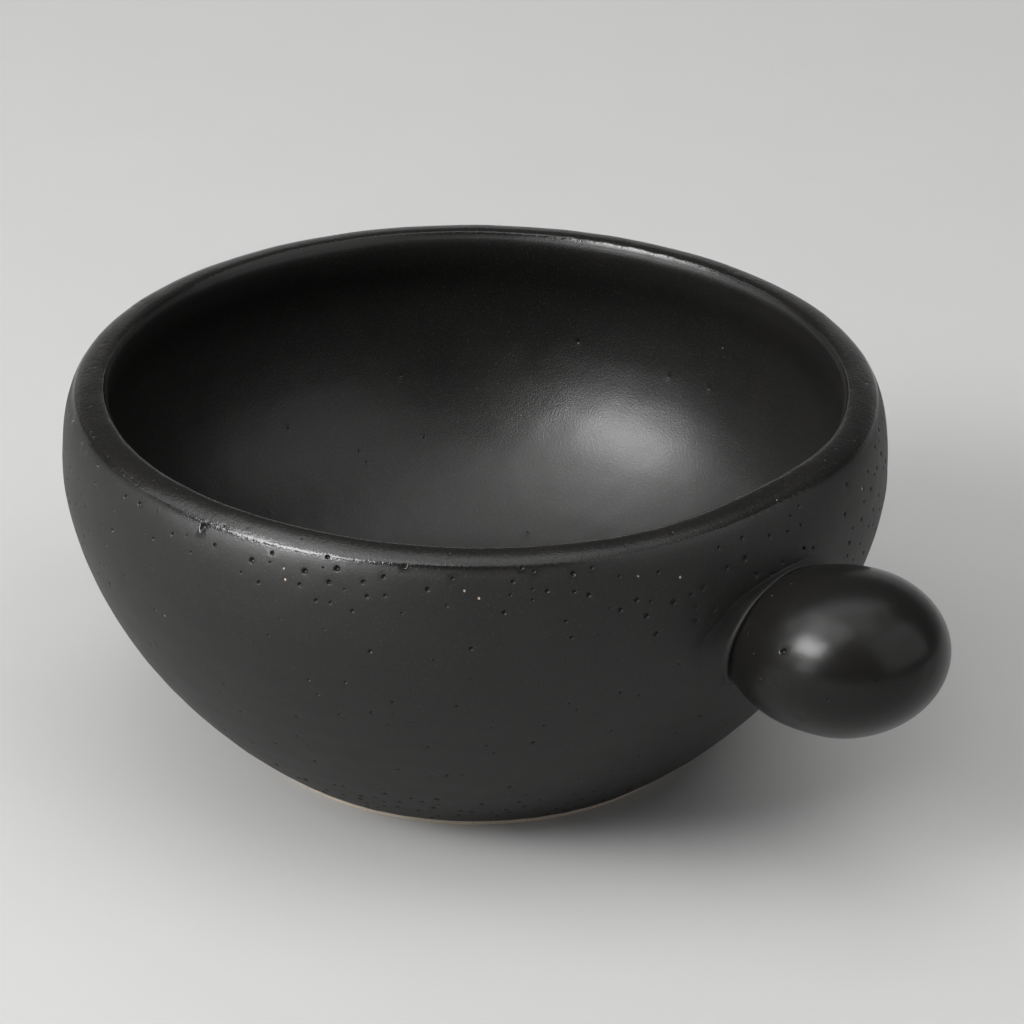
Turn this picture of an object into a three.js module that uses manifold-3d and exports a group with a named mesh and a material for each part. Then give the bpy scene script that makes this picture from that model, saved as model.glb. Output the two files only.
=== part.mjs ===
// A black glazed stoneware bowl with an egg-shaped stub handle, in millimetres, +Z up.
// The handle points along +X and the bowl stands on the plane z = 0. A fired pot does not come
// apart, so its nodes are what the potter put together: the thrown body, its foot ring, the hollow
// handle, the slip that joins handle to wall, and the coats of glaze that were poured on.
import * as THREE from 'three';
import { mergeVertices } from 'three/addons/utils/BufferGeometryUtils.js';
import Module from 'manifold-3d';

// Outside of the bowl, measured over the glaze.
const bowlRadius = 75;
const bowlHeight = 69.7;
const shoulderRise = 16.2;        // from the widest ring up to the lip's crest
const shoulderInset = 5.9;        // how far the crest lies inside the widest ring
const shoulderFullness = 2.5;     // 2 is an ellipse, more is squarer
const glazeLineRadius = 41.7;     // where the outside glaze stops above the foot
const glazeLineHeight = 0.9;
const flareAngle = 36.6;          // degrees above the table at which the wall leaves the foot
const flareLength = 35.1;         // how long the wall keeps that direction
const bellyLength = 6.2;          // how long the wall runs upright below the widest ring

// Inside of the bowl, measured over the glaze.
const wallThickness = 5.8;        // at the widest ring
const floorThickness = 6;         // from the recess under the bowl to the inside floor
const lipInset = 2.7;             // rounding of the lip, from its crest inward
const lipDrop = 2.4;              // and downward
const lipLength = 5;              // upright stretch under the lip
const hollowLength = 6;           // upright stretch above the widest ring
const innerWallLength = 13.5;     // upright stretch below the widest ring
const floorCornerInset = 7.2;     // the floor's flat direction is kept to this far inside the wall

// The potter's thumb drew the lip in a little where the handle was pressed on.
const lipPress = 1.8;
const lipPressWidth = 22;         // mm along the lip, on either side of the handle
const lipPressHeight = 14;        // fades out this far below the crest

// Foot ring.
const footHeight = 3;
const footWidth = 7;              // of the ring that stands on the table
const footBevel = 0.5;            // outer and inner edges of the ring
const recessSlope = 1.2;          // the recess narrows by this much up to its ceiling

// Handle, a slightly flattened egg whose rear end is buried in the wall.
const handleHalfWidth = 17.65;
const handleHalfHeight = 14.5;
const handleFront = 19;           // from its widest ring to its free end
const handleRear = 23.2;          // from its widest ring to the buried end
const handleStandOff = 12.8;      // its widest ring's centre, outside the bowl's widest ring
const handleCentreHeight = 46;
const handleTilt = 9.8;           // degrees, free end up
const handleWall = 4.6;
const ventRadius = 0.6;           // lets steam out of the hollow handle in the kiln
const ventAngle = 66;             // degrees round from the top, toward -Y
const ventOffset = 0.5;           // along the handle from its widest ring
const ventOvershoot = 2;          // how far the piercing pin runs past the handle's wall

// Slip joint and glaze.
const slipThickness = 1.2;        // between the wall and the handle
const beadRadius = 2;             // of the slip that was squeezed out round the handle
const beadOffset = 0.9;           // of the bead's centre from the handle's side
const glazeThickness = 0.5;
const fitGap = 0.25;              // between pieces that are cut to fit each other

// Facets.
const bowlFacets = 56;
const handleFacets = 24;
const beadFacets = 32;
const beadSides = 8;
const longCurveSteps = 8;
const shortCurveSteps = 3;
const shoulderSteps = 6;
const eggSteps = 7;
const ellipseFullness = 2;
const mergeDistance = 1e-4;
const searchStep = 1e-3;

const widestHeight = bowlHeight - shoulderRise;
const crestRadius = bowlRadius - shoulderInset;
const floorHeight = footHeight + floorThickness;
const handleCentreRadius = bowlRadius + handleStandOff;
const tilt = THREE.MathUtils.degToRad(handleTilt);

const wasm = await Module();
wasm.setup();

// Profile helpers: a profile is a list of (radius, height) points.

function bezier(start, startControl, endControl, end, steps) {
  return new THREE.CubicBezierCurve(start, startControl, endControl, end).getPoints(steps);
}

function superellipse(centre, width, height, fullness, steps, fromAngle, toAngle) {
  const points = [];
  for (let i = 0; i <= steps; i += 1) {
    const angle = THREE.MathUtils.lerp(fromAngle, toAngle, i / steps);
    const across = Math.sign(Math.cos(angle)) * Math.abs(Math.cos(angle)) ** (2 / fullness);
    const up = Math.sign(Math.sin(angle)) * Math.abs(Math.sin(angle)) ** (2 / fullness);
    points.push(new THREE.Vector2(centre.x + width * across, centre.y + height * up));
  }
  return points;
}

// Moves each point of a profile sideways, to the right of its direction for a positive distance.
function offsetProfile(points, distance) {
  return points.map((point, i) => {
    const before = points[Math.max(i - 1, 0)];
    const after = points[Math.min(i + 1, points.length - 1)];
    const along = after.clone().sub(before).normalize();
    return new THREE.Vector2(point.x + distance * along.y, point.y - distance * along.x);
  });
}

// The glazed outside, from the glaze line above the foot up to the crest of the lip.
function outsideProfile() {
  const flare = THREE.MathUtils.degToRad(flareAngle);
  const foot = new THREE.Vector2(glazeLineRadius, glazeLineHeight);
  const widest = new THREE.Vector2(bowlRadius, widestHeight);
  const reach = Math.min(flareLength, (bowlRadius - glazeLineRadius) / Math.cos(flare));
  const flareEnd = new THREE.Vector2(Math.cos(flare), Math.sin(flare)).multiplyScalar(reach).add(foot);
  const bellyStart = new THREE.Vector2(bowlRadius, widestHeight - bellyLength);
  const wall = bezier(foot, flareEnd, bellyStart, widest, longCurveSteps);
  const shoulderCentre = new THREE.Vector2(crestRadius, widestHeight);
  const shoulder = superellipse(
    shoulderCentre, shoulderInset, shoulderRise, shoulderFullness, shoulderSteps, 0, Math.PI / 2);
  return [...wall, ...shoulder.slice(1)];
}

// The glazed inside, from the crest of the lip down to the middle of the floor.
function insideProfile() {
  const lipCentre = new THREE.Vector2(crestRadius, bowlHeight - lipDrop);
  const lip = superellipse(
    lipCentre, lipInset, lipDrop, ellipseFullness, shortCurveSteps, Math.PI / 2, Math.PI);
  const lipEnd = lip.at(-1);
  const innerRadius = bowlRadius - wallThickness;
  const innerWidest = new THREE.Vector2(innerRadius, widestHeight);
  const hollow = bezier(
    lipEnd,
    new THREE.Vector2(lipEnd.x, lipEnd.y - lipLength),
    new THREE.Vector2(innerRadius, widestHeight + hollowLength),
    innerWidest,
    shortCurveSteps);
  const bowlInside = bezier(
    innerWidest,
    new THREE.Vector2(innerRadius, widestHeight - innerWallLength),
    new THREE.Vector2(innerRadius - floorCornerInset, floorHeight),
    new THREE.Vector2(0, floorHeight),
    longCurveSteps);
  return [...lip, ...hollow.slice(1), ...bowlInside.slice(1)];
}

// Keeps a profile's last point on the axis after it was moved sideways.
function endOnAxis(points) {
  points.at(-1).x = 0;
  return points;
}

const outside = outsideProfile();
const inside = insideProfile();
const clayOutside = offsetProfile(outside, -glazeThickness);
const clayInside = endOnAxis(offsetProfile(inside, -glazeThickness));

// The crest is one point of both coats, so the clay under it is one point too.
clayOutside.at(-1).set(crestRadius, bowlHeight - glazeThickness);
clayInside[0].copy(clayOutside.at(-1));

// Solids of revolution.

// Draws the lip in above the handle. It moves what lies on the axis by nothing.
function pressLip(geometry) {
  const position = geometry.getAttribute('position');
  for (let i = 0; i < position.count; i += 1) {
    const x = position.getX(i);
    const y = position.getY(i);
    const radius = Math.hypot(x, y);
    const along = bowlRadius * Math.atan2(y, x);
    const below = (bowlHeight - position.getZ(i)) / lipPressHeight;
    const fade = THREE.MathUtils.smoothstep(1 - below, 0, 1);
    const press = lipPress * fade * Math.exp(-((along / lipPressWidth) ** 2));
    const scale = radius > press ? (radius - press) / radius : 1;
    position.setX(i, x * scale);
    position.setY(i, y * scale);
  }
  return geometry;
}

function revolve(profile, facets) {
  const geometry = new THREE.LatheGeometry(profile, facets);
  geometry.rotateX(Math.PI / 2);
  return geometry;
}

function bowlShape(profile) {
  return pressLip(revolve(profile, bowlFacets));
}

// A coat is drawn along the clay first, so that its facets lie flush on the clay's. That order
// leaves it inside out, so every facet is then turned over.
function coat(clay, glaze) {
  const geometry = bowlShape([...clay, ...glaze.toReversed(), clay[0].clone()]);
  const corners = geometry.index.array;
  for (let i = 0; i < corners.length; i += 3) {
    [corners[i], corners[i + 1]] = [corners[i + 1], corners[i]];
  }
  return geometry;
}

// Carries a solid of revolution to the handle's place, its axis along the handle.
function toHandle(geometry) {
  geometry.rotateY(Math.PI / 2 - tilt);
  geometry.translate(handleCentreRadius, 0, handleCentreHeight);
  return geometry;
}

// Egg about +Z, free end up, grown outward by the given amount.
function egg(grow) {
  const width = handleHalfWidth + grow;
  const origin = new THREE.Vector2(0, 0);
  const rear = superellipse(
    origin, width, handleRear + grow, ellipseFullness, eggSteps, -Math.PI / 2, 0);
  const front = superellipse(
    origin, width, handleFront + grow, ellipseFullness, eggSteps, 0, Math.PI / 2);
  const profile = [...rear, ...front.slice(1)];
  profile[0].x = 0;
  profile.at(-1).x = 0;
  const geometry = revolve(profile, handleFacets);
  geometry.scale((handleHalfHeight + grow) / width, 1, 1);
  return toHandle(geometry);
}

// Booleans.

function solid(geometry) {
  const bare = geometry.clone();
  bare.deleteAttribute('normal');
  bare.deleteAttribute('uv');
  const merged = mergeVertices(bare, mergeDistance);
  return new wasm.Manifold(new wasm.Mesh({
    numProp: 3,
    vertProperties: new Float32Array(merged.getAttribute('position').array),
    triVerts: new Uint32Array(merged.index.array),
  }));
}

function geometryOf(manifold) {
  const mesh = manifold.getMesh();
  const geometry = new THREE.BufferGeometry();
  geometry.setAttribute('position', new THREE.BufferAttribute(new Float32Array(mesh.vertProperties), 3));
  geometry.setIndex(new THREE.BufferAttribute(new Uint32Array(mesh.triVerts), 1));
  geometry.computeVertexNormals();
  return geometry;
}

// Everything within the clay's outside, grown by the given amount: what cuts a piece to the wall.
function wallBlank(grow) {
  const profile = offsetProfile(clayOutside, grow);
  const top = profile.at(-1);
  const bottom = profile[0];
  const closed = [
    new THREE.Vector2(0, bottom.y),
    ...profile,
    new THREE.Vector2(0, top.y),
  ];
  return solid(bowlShape(closed));
}

// Radius of the clay's outside at a height.
function wallRadius(height) {
  const next = clayOutside.findIndex((point) => point.y > height);
  if (next < 1) return next < 0 ? crestRadius : clayOutside[0].x;
  const below = clayOutside[next - 1];
  const above = clayOutside[next];
  return THREE.MathUtils.mapLinear(height, below.y, above.y, below.x, above.x);
}

// Point at an angle round the handle, at a distance along it from its widest ring, on a grown egg.
function eggPoint(angle, along, grow) {
  const length = along < 0 ? handleRear + grow : handleFront + grow;
  const share = Math.sqrt(Math.max(1 - (along / length) ** 2, 0));
  const up = (handleHalfHeight + grow) * share * Math.cos(angle);
  const across = (handleHalfWidth + grow) * share * Math.sin(angle);
  const point = new THREE.Vector3(-up, -across, along);
  point.applyAxisAngle(new THREE.Vector3(0, 1, 0), Math.PI / 2 - tilt);
  return point.add(new THREE.Vector3(handleCentreRadius, 0, handleCentreHeight));
}

// Where the grown egg's side runs into the wall, found by halving the stretch that holds it.
function jointPoint(angle, grow) {
  let buried = -handleRear;
  let free = handleFront / 2;
  while (free - buried > searchStep) {
    const middle = (buried + free) / 2;
    const point = eggPoint(angle, middle, grow);
    if (Math.hypot(point.x, point.y) < wallRadius(point.z)) buried = middle;
    else free = middle;
  }
  return eggPoint(angle, free, grow);
}

// Ring of squeezed-out slip along the joint: a torus laid along the line where handle meets wall.
function bead(grow) {
  const geometry = new THREE.TorusGeometry(1, 1, beadSides, beadFacets);
  const uv = geometry.getAttribute('uv');
  const position = geometry.getAttribute('position');
  const middle = jointPoint(0, beadOffset).add(jointPoint(Math.PI, beadOffset)).multiplyScalar(0.5);
  for (let i = 0; i < position.count; i += 1) {
    const round = (uv.getX(i) % 1) * 2 * Math.PI;
    const turn = (uv.getY(i) % 1) * 2 * Math.PI;
    const centre = jointPoint(round, beadOffset);
    const outward = centre.clone().sub(middle).normalize();
    const along = new THREE.Vector3(Math.cos(tilt), 0, Math.sin(tilt));
    const radius = beadRadius + grow;
    const place = centre
      .addScaledVector(outward, radius * Math.cos(turn))
      .addScaledVector(along, radius * Math.sin(turn));
    position.setXYZ(i, place.x, place.y, place.z);
  }
  return solid(geometry);
}

// A pin through the handle's side, for the steam vent.
function ventPin() {
  const side = eggPoint(THREE.MathUtils.degToRad(ventAngle), ventOffset, 0);
  const middle = new THREE.Vector3(handleCentreRadius, 0, handleCentreHeight);
  const outward = side.clone().sub(middle).normalize();
  const length = 2 * (handleWall + ventOvershoot);
  const geometry = new THREE.CylinderGeometry(ventRadius, ventRadius, length, beadSides);
  const turn = new THREE.Quaternion().setFromUnitVectors(new THREE.Vector3(0, 1, 0), outward);
  geometry.applyQuaternion(turn);
  geometry.translate(side.x, side.y, side.z);
  return solid(geometry);
}

// Pieces.

function bowlBody() {
  const wall = clayOutside.filter((point) => point.y > footHeight);
  const underside = [
    new THREE.Vector2(0, footHeight),
    new THREE.Vector2(wallRadius(footHeight), footHeight),
  ];
  return bowlShape([...underside, ...wall, ...clayInside.slice(1)]);
}

function footRing() {
  const outer = wallRadius(0);
  const inner = outer - footWidth;
  const profile = [
    new THREE.Vector2(inner - recessSlope, footHeight),
    new THREE.Vector2(inner, footBevel),
    new THREE.Vector2(inner + footBevel, 0),
    new THREE.Vector2(outer - footBevel, 0),
    clayOutside[0].clone(),
    new THREE.Vector2(wallRadius(footHeight), footHeight),
  ];
  profile.push(profile[0].clone());
  return revolve(profile, bowlFacets);
}

function handleShell() {
  const cavity = solid(egg(-handleWall));
  const outer = solid(egg(-glazeThickness));
  return geometryOf(outer.subtract(cavity).subtract(wallBlank(slipThickness)).subtract(ventPin()));
}

function lutingSlip() {
  const pad = solid(egg(beadOffset)).subtract(solid(egg(-handleWall)));
  const layer = pad.intersect(wallBlank(slipThickness - fitGap));
  const squeezed = bead(0).subtract(solid(egg(fitGap)));
  return geometryOf(layer.add(squeezed).subtract(wallBlank(fitGap)));
}

function insideGlaze() {
  return coat(clayInside, inside);
}

function outsideGlaze() {
  const joint = solid(egg(beadOffset + fitGap)).add(bead(fitGap));
  return geometryOf(solid(coat(clayOutside, outside)).subtract(joint));
}

function handleGlaze() {
  const skin = solid(egg(0)).subtract(solid(egg(-glazeThickness)));
  const joint = bead(fitGap).add(wallBlank(slipThickness));
  return geometryOf(skin.subtract(joint).subtract(ventPin()));
}

function baseGlaze() {
  const outer = wallRadius(0) - footWidth;
  const edge = new THREE.Vector2(outer, footBevel);
  const corner = new THREE.Vector2(outer - recessSlope, footHeight);
  const profile = [
    new THREE.Vector2(0, footHeight - glazeThickness),
    new THREE.Vector2(corner.x - glazeThickness, footHeight - glazeThickness),
    new THREE.Vector2(edge.x - glazeThickness, glazeLineHeight),
    edge.clone().lerp(corner, (glazeLineHeight - footBevel) / (footHeight - footBevel)),
    corner,
    new THREE.Vector2(0, footHeight),
  ];
  return revolve(profile, bowlFacets);
}

// Finishes.

const blackGlaze = { color: 0x1c1b1a, roughness: 0.42, metalness: 0 };
const buffClay = { color: 0xb79a74, roughness: 0.9, metalness: 0 };

function piece(name, geometry, finish) {
  const mesh = new THREE.Mesh(geometry, new THREE.MeshStandardMaterial(finish));
  mesh.name = name;
  return mesh;
}

const bowl = new THREE.Group();
bowl.add(
  piece('bowl_body', bowlBody(), buffClay),
  piece('foot_ring', footRing(), buffClay),
  piece('handle_shell', handleShell(), buffClay),
  piece('luting_slip', lutingSlip(), blackGlaze),
  piece('inside_glaze', insideGlaze(), blackGlaze),
  piece('outside_glaze', outsideGlaze(), blackGlaze),
  piece('handle_glaze', handleGlaze(), blackGlaze),
  piece('base_glaze', baseGlaze(), blackGlaze),
);

// The origin is under the middle of the whole footprint, handle included.
const footprint = new THREE.Box3().setFromObject(bowl, true);
bowl.position.x = -(footprint.min.x + footprint.max.x) / 2;

export default bowl;
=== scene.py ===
# %% [markdown]
# # A black glazed bowl with an egg-shaped handle
# A potter threw this bowl on the wheel, luted a hollow egg-shaped handle to its side with slip, and
# poured a satin black glaze over everything but the ring it stands on. The CAD frame holds the true
# sizes, in metres, with +Z up and the handle along +X. This lesson lays finer skins over the CAD
# solids, gives them glaze and clay finishes, and lights them as a studio would.

# %% Load the frame
import math

import bpy
import numpy as np
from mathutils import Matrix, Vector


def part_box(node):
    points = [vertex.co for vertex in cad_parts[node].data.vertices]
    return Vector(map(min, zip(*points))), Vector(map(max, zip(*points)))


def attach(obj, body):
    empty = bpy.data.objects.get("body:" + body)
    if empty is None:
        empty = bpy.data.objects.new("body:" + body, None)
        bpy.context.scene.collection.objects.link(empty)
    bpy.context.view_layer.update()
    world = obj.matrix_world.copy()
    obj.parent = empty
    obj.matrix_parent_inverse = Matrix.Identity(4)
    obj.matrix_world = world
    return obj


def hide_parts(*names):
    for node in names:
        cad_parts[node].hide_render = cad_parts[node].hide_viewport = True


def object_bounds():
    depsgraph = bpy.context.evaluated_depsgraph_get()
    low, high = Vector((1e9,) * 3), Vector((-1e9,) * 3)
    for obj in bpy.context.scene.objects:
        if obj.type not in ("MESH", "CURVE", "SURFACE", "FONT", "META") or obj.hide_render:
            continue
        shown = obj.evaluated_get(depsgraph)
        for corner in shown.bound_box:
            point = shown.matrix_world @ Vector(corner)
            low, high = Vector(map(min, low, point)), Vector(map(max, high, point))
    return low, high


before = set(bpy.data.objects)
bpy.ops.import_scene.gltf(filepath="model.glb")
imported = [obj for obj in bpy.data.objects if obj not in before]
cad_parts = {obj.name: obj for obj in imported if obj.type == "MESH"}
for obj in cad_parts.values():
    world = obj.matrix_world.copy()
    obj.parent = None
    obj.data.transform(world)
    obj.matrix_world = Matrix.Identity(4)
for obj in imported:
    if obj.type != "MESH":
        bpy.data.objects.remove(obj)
cad_low, cad_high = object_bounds()
print("CAD nodes:", sorted(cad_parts))
print("CAD box in metres:", tuple(cad_low), tuple(cad_high))

# %% [markdown]
# ## The bowl's own axis
# The frame's origin lies under the middle of the footprint, handle included, so the bowl's own axis is
# off to one side. The foot ring is round about it, so the middle of the ring's box gives it. Shapes are
# drawn in millimetres about this axis, as a potter would measure them, and carried into the shared
# frame when a mesh is made.

# %% Find the axis
MM = 0.001
ring_low, ring_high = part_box("foot_ring")
axis_x = (ring_low.x + ring_high.x) / 2 / MM


def to_frame(points):
    """Millimetres about the bowl's axis to metres in the shared frame."""
    return (np.asarray(points, float) + (axis_x, 0, 0)) * MM


print("the bowl's axis stands at x =", round(axis_x, 2), "mm")

# %% [markdown]
# ## The camera
# The bowl was photographed with a long lens from about a metre away, looking down by 26 degrees, with
# the handle turned toward the right front. A camera helper could aim itself at the bowl, but the
# framing is a fixed fact here, so its place and three angles are written down.

# %% Set the camera
camera_place = (595.2, -634.7, 473.66)
camera_angles = (63.639, -0.637, 43.030)  # degrees: tip, lean and turn
camera_lens = 186.5


def put(name, data):
    """Adds an object to the scene."""
    thing = bpy.data.objects.new(name, data)
    bpy.context.scene.collection.objects.link(thing)
    return thing


camera = put("camera", bpy.data.cameras.new("camera"))
camera.data.lens = camera_lens
camera.location = to_frame(camera_place)
camera.rotation_euler = [math.radians(angle) for angle in camera_angles]
bpy.context.scene.camera = camera
print("camera with a lens of", camera_lens, "mm")

# %% [markdown]
# ## The line that the bowl turns
# A thrown bowl is one line turned about its axis. The glazed line starts in the middle of the floor,
# climbs the inside wall, folds over the lip, swells to the widest ring and runs down to where the
# glaze stops above the foot. Bezier curves give the sweeps, because they keep their end directions
# when a size changes. The lip was pressed with a sponge, which left a narrow bevel, a low dome and an
# outer ridge.

# %% Draw the section
bowl_radius = round(cad_high.y / MM, 2)
bowl_height = round(cad_high.z / MM, 2)
widest_height = 53.5
inner_radius = 69.2
floor_height = 9.0
floor_inset = 7.2  # the floor stays level to this far inside the wall
wall_length = 13.5  # upright stretch of the inside wall below the widest ring
hollow_length = 6.0  # and above it
lip_end = np.array((66.3, 67.0))  # where the inside wall gives way to the lip
lip_length = 5.0
lip_face_pull = 0.9
face_slope = 56  # slopes in degrees
face_length = 1.3
inner_edge = np.array((67.35, 69.42))
crest = np.array((68.15, 69.6))
outer_edge = np.array((72.6, 68.4))
crest_slope = 1
ridge_slope = 35
shoulder_slope = 57
shoulder_length = 3.5
belly_rise = 7.0
belly_length = 6.2
flare_angle = 36.6
flare_length = 35.1
glaze_line = np.array((41.7, 0.9))
edge_height = 1.35  # the plain wall ends here and the rolled edge begins
fine = 400  # points on each curve


def curve(*pulls):
    """A Bezier curve from its first point to its last, drawn toward those between."""
    t = np.linspace(0, 1, fine)[:, None]
    last = len(pulls) - 1
    return sum(math.comb(last, k) * (1 - t) ** (last - k) * t ** k * np.asarray(pull)
               for k, pull in enumerate(pulls))


def way(degrees):
    """A step of one millimetre in the section, at some degrees above level."""
    return np.array((math.cos(math.radians(degrees)), math.sin(math.radians(degrees))))


def along(line):
    """Distance from the start of a line to each of its points."""
    return np.concatenate([[0], np.cumsum(np.linalg.norm(np.diff(line, axis=0), axis=1))])


def meet(first, first_slope, second, second_slope):
    """Where two lines meet, each through a point and falling outward by its own slope."""
    first_drop, second_drop = (math.tan(math.radians(slope)) for slope in (first_slope, second_slope))
    rise = first[1] - second[1] + first_drop * first[0] - second_drop * second[0]
    radius = rise / (first_drop - second_drop)
    return radius, second[1] + second_drop * (second[0] - radius)


inside_wall = curve((0, floor_height), (inner_radius - floor_inset, floor_height),
                    (inner_radius, widest_height - wall_length), (inner_radius, widest_height))
hollow = curve((inner_radius, widest_height), (inner_radius, widest_height + hollow_length),
               lip_end - (0, lip_length), lip_end)
lip_face = curve(lip_end, lip_end + (0, lip_face_pull),
                 inner_edge - face_length * way(face_slope), inner_edge)
bevel = curve(inner_edge, crest)
lip_top = curve(crest, meet(crest, crest_slope, outer_edge, ridge_slope), outer_edge)
shoulder = curve(outer_edge, outer_edge + shoulder_length * way(-shoulder_slope),
                 (bowl_radius, widest_height + belly_rise), (bowl_radius, widest_height))
outside_wall = curve((bowl_radius, widest_height), (bowl_radius, widest_height - belly_length),
                     glaze_line + flare_length * way(flare_angle), glaze_line)
outside_wall = outside_wall[outside_wall[:, 1] > edge_height]
after_inside = (hollow, lip_face, bevel, lip_top, shoulder, outside_wall)
section = np.concatenate([inside_wall] + [stretch[1:] for stretch in after_inside])
from_start = along(section)
print("the section runs", round(float(from_start[-1]), 1), "mm")

# %% [markdown]
# ## Even rows along the section
# A mesh shades best when its faces are about as long as wide, and smaller where the line bends hard.
# Each stretch of the section asks for its own spacing, and the rows are dealt out so that each step
# uses up an equal share. The lip's edges also get a share of gloss, because the melting glaze ran
# thin and smooth over them.

# %% Deal out the rows
inside_step = 1.5
outside_step = 0.84
edge_step = 0.25
lip_turn_in = 9.0  # the outside spacing starts this far inside the crest
edge_reach = 1.5  # finest rows before the glaze's lower edge
ridge_reach = 1.1  # and on both sides of each edge of the lip
gloss_reach = 0.9
lip_gloss = 0.7
pole_radius = 0.25  # of the first row, round the middle of the floor


def deal(line, step):
    """Points along a line, spaced by the step that each of its places asks for."""
    distance = along(line)
    share = np.concatenate([[0], np.cumsum(np.diff(distance) / step[1:])])
    wanted = np.linspace(0, share[-1], int(math.ceil(share[-1])) + 1)
    at = np.interp(wanted, share, distance)
    return np.stack([np.interp(at, distance, side) for side in line.T], 1), at


def unit(ways):
    """The same directions, each with a length of one."""
    return ways / np.linalg.norm(ways, axis=-1, keepdims=True)


def square_to(line):
    """Unit normals of a section line, on its glazed side."""
    slope = unit(np.gradient(line, axis=0))
    return np.stack([-slope[:, 1], slope[:, 0]], 1)


crest_at = from_start[np.argmax(section[:, 1])]
step = np.where(from_start < crest_at - lip_turn_in, inside_step, outside_step)
step[from_start[-1] - from_start < edge_reach] = edge_step
lip_at = [from_start[np.argmin(np.linalg.norm(section - edge, axis=1))] for edge in (inner_edge, outer_edge)]
edge_share = np.where((from_start > lip_at[0]) & (from_start < lip_at[1]), lip_gloss, 0)
for edge_at in lip_at:
    step[np.abs(from_start - edge_at) < ridge_reach] = edge_step
    edge_share = np.maximum(edge_share, np.exp(-((from_start - edge_at) / gloss_reach) ** 2))
rows, row_at = deal(section, step)
row_edge = np.interp(row_at, from_start, edge_share)
rows[0, 0] = pole_radius
row_normal = square_to(rows)
seam = int(np.argmax(row_at > crest_at - lip_turn_in))
print(len(rows), "rows, the outside coat starts at row", seam)

# %% [markdown]
# ## A hand's small errors
# Nothing thrown by hand is exact. The lip rises and falls by a tenth of a millimetre, is drawn in
# where the handle was pressed on, leans in at the left front, is worn on its outer ridge and is
# chipped on its inner edge, mostly at the far side. A few cosine waves with fixed phases make such a
# wander, which closes on itself round the bowl. Each is given by its seed and its fewest and most
# waves.

# %% Shape the hand's errors
weakest_wave = 0.5
lip_rise_waves = (7, 3, 30)
lip_side_waves = (8, 2, 24)
chip_waves = (11, 50, 200)
lip_wander = 0.09
lip_wander_reach = 5.0
lip_press = 1.8
press_width = 22.0
press_height = 14.0
lean = 0.5
lean_drop = 2.0  # how far the lip sinks for each millimetre that it leans in
lean_power = 1.5
lean_place = (-81, 22)  # degrees round the bowl: the middle and the width
lean_height = 14.0
ridge_wear = 0.11
wear_reach = 0.9
wear_way = math.sqrt(0.5)  # wear goes inward and down alike
crispness = 0.65
crisp_place = (-55, 45)
chip_depth = 0.03
chip_depth_far = 0.09
chip_reach = 0.9
far_place = (104, 24)


def wander(angle, seed, fewest, most):
    """A smooth closed wander round the bowl, between about -1 and 1."""
    waves = np.arange(fewest, most + 1)
    chance = np.random.default_rng(seed)
    phase = chance.uniform(0, 2 * math.pi, len(waves))
    size = chance.uniform(weakest_wave, 1, len(waves)) / np.sqrt(waves)
    total = (size * np.cos(np.asarray(angle)[..., None] * waves + phase)).sum(-1)
    return total / np.sqrt((size ** 2).sum()) / 2


def beside(angle, centre, width):
    """1 at one place round the bowl, given in degrees, fading on both sides of it."""
    away = np.angle(np.exp(1j * (angle - math.radians(centre))))
    return np.exp(-(away / math.radians(width)) ** 2)


def close_to(edge, radius, height, reach):
    """1 at one point of the section, fading all round it."""
    return np.exp(-(np.hypot(radius - edge[0], height - edge[1]) / reach) ** 2)


def press(radius, height, angle):
    """How far the lip is drawn in above the handle."""
    fade = np.clip(1 - (bowl_height - height) / press_height, 0, 1)
    fade = fade * fade * (3 - 2 * fade)
    width = math.degrees(press_width / bowl_radius)
    return np.minimum(lip_press * fade * beside(angle, 0, width), radius)


def leaning(radius, height, angle):
    """How far the shoulder leans in at one place."""
    rise = np.clip((height - widest_height) / lean_height, 0, 1) ** 2
    share = np.clip((radius - inner_edge[0]) / (outer_edge[0] - inner_edge[0]), 0, 1)
    return lean * beside(angle, *lean_place) * rise * share ** lean_power


def worn(radius, height, angle):
    """How far the outer ridge of the lip is rubbed down."""
    rubbed = ridge_wear * (1 - crispness * beside(angle, *crisp_place))
    return wear_way * rubbed * close_to(outer_edge, radius, height, wear_reach)


def chipped(radius, height, angle):
    """How far the inner edge of the lip is chipped."""
    depth = chip_depth + chip_depth_far * beside(angle, *far_place)
    chips = np.clip(wander(angle, *chip_waves), -1, 1) - 1
    return depth * close_to(inner_edge, radius, height, chip_reach) * chips


def spin(radius, height, angle):
    """Points at a radius, a height and an angle about the axis."""
    return np.stack(np.broadcast_arrays(radius * np.cos(angle), radius * np.sin(angle), height), -1)


def turned(radius, height, angle):
    """Turns section points about the axis, with all that the hand did to the lip."""
    rubbed = worn(radius, height, angle)
    radius, height = radius - rubbed, height - rubbed
    inward = leaning(radius, height, angle)
    radius = radius - press(radius, height, angle) - inward
    height = height - lean_drop * inward
    close = np.exp(-((bowl_height - height) / lip_wander_reach) ** 2)
    low = np.clip(wander(angle, *lip_rise_waves), -1, 1) - 1
    side = wander(angle, *lip_side_waves)
    chips = chipped(radius, height, angle)
    radius = radius + close * (lip_wander * side + chips)
    height = height + close * (lip_wander * low + chips)
    return spin(radius, height, angle)


print("the lip is drawn in by", round(float(press(*crest, 0.0)), 2), "mm above the handle")

# %% [markdown]
# ## Turn the bowl
# The potter's fingers leave a shallow spiral, the wall swells here and there, and the glaze settles
# in small uneven waves. All three move the skin inward, so that it stays within the CAD box. Toward
# the middle of the floor they die away, because there the columns draw together and any wave round
# the axis would show as a star.

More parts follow.
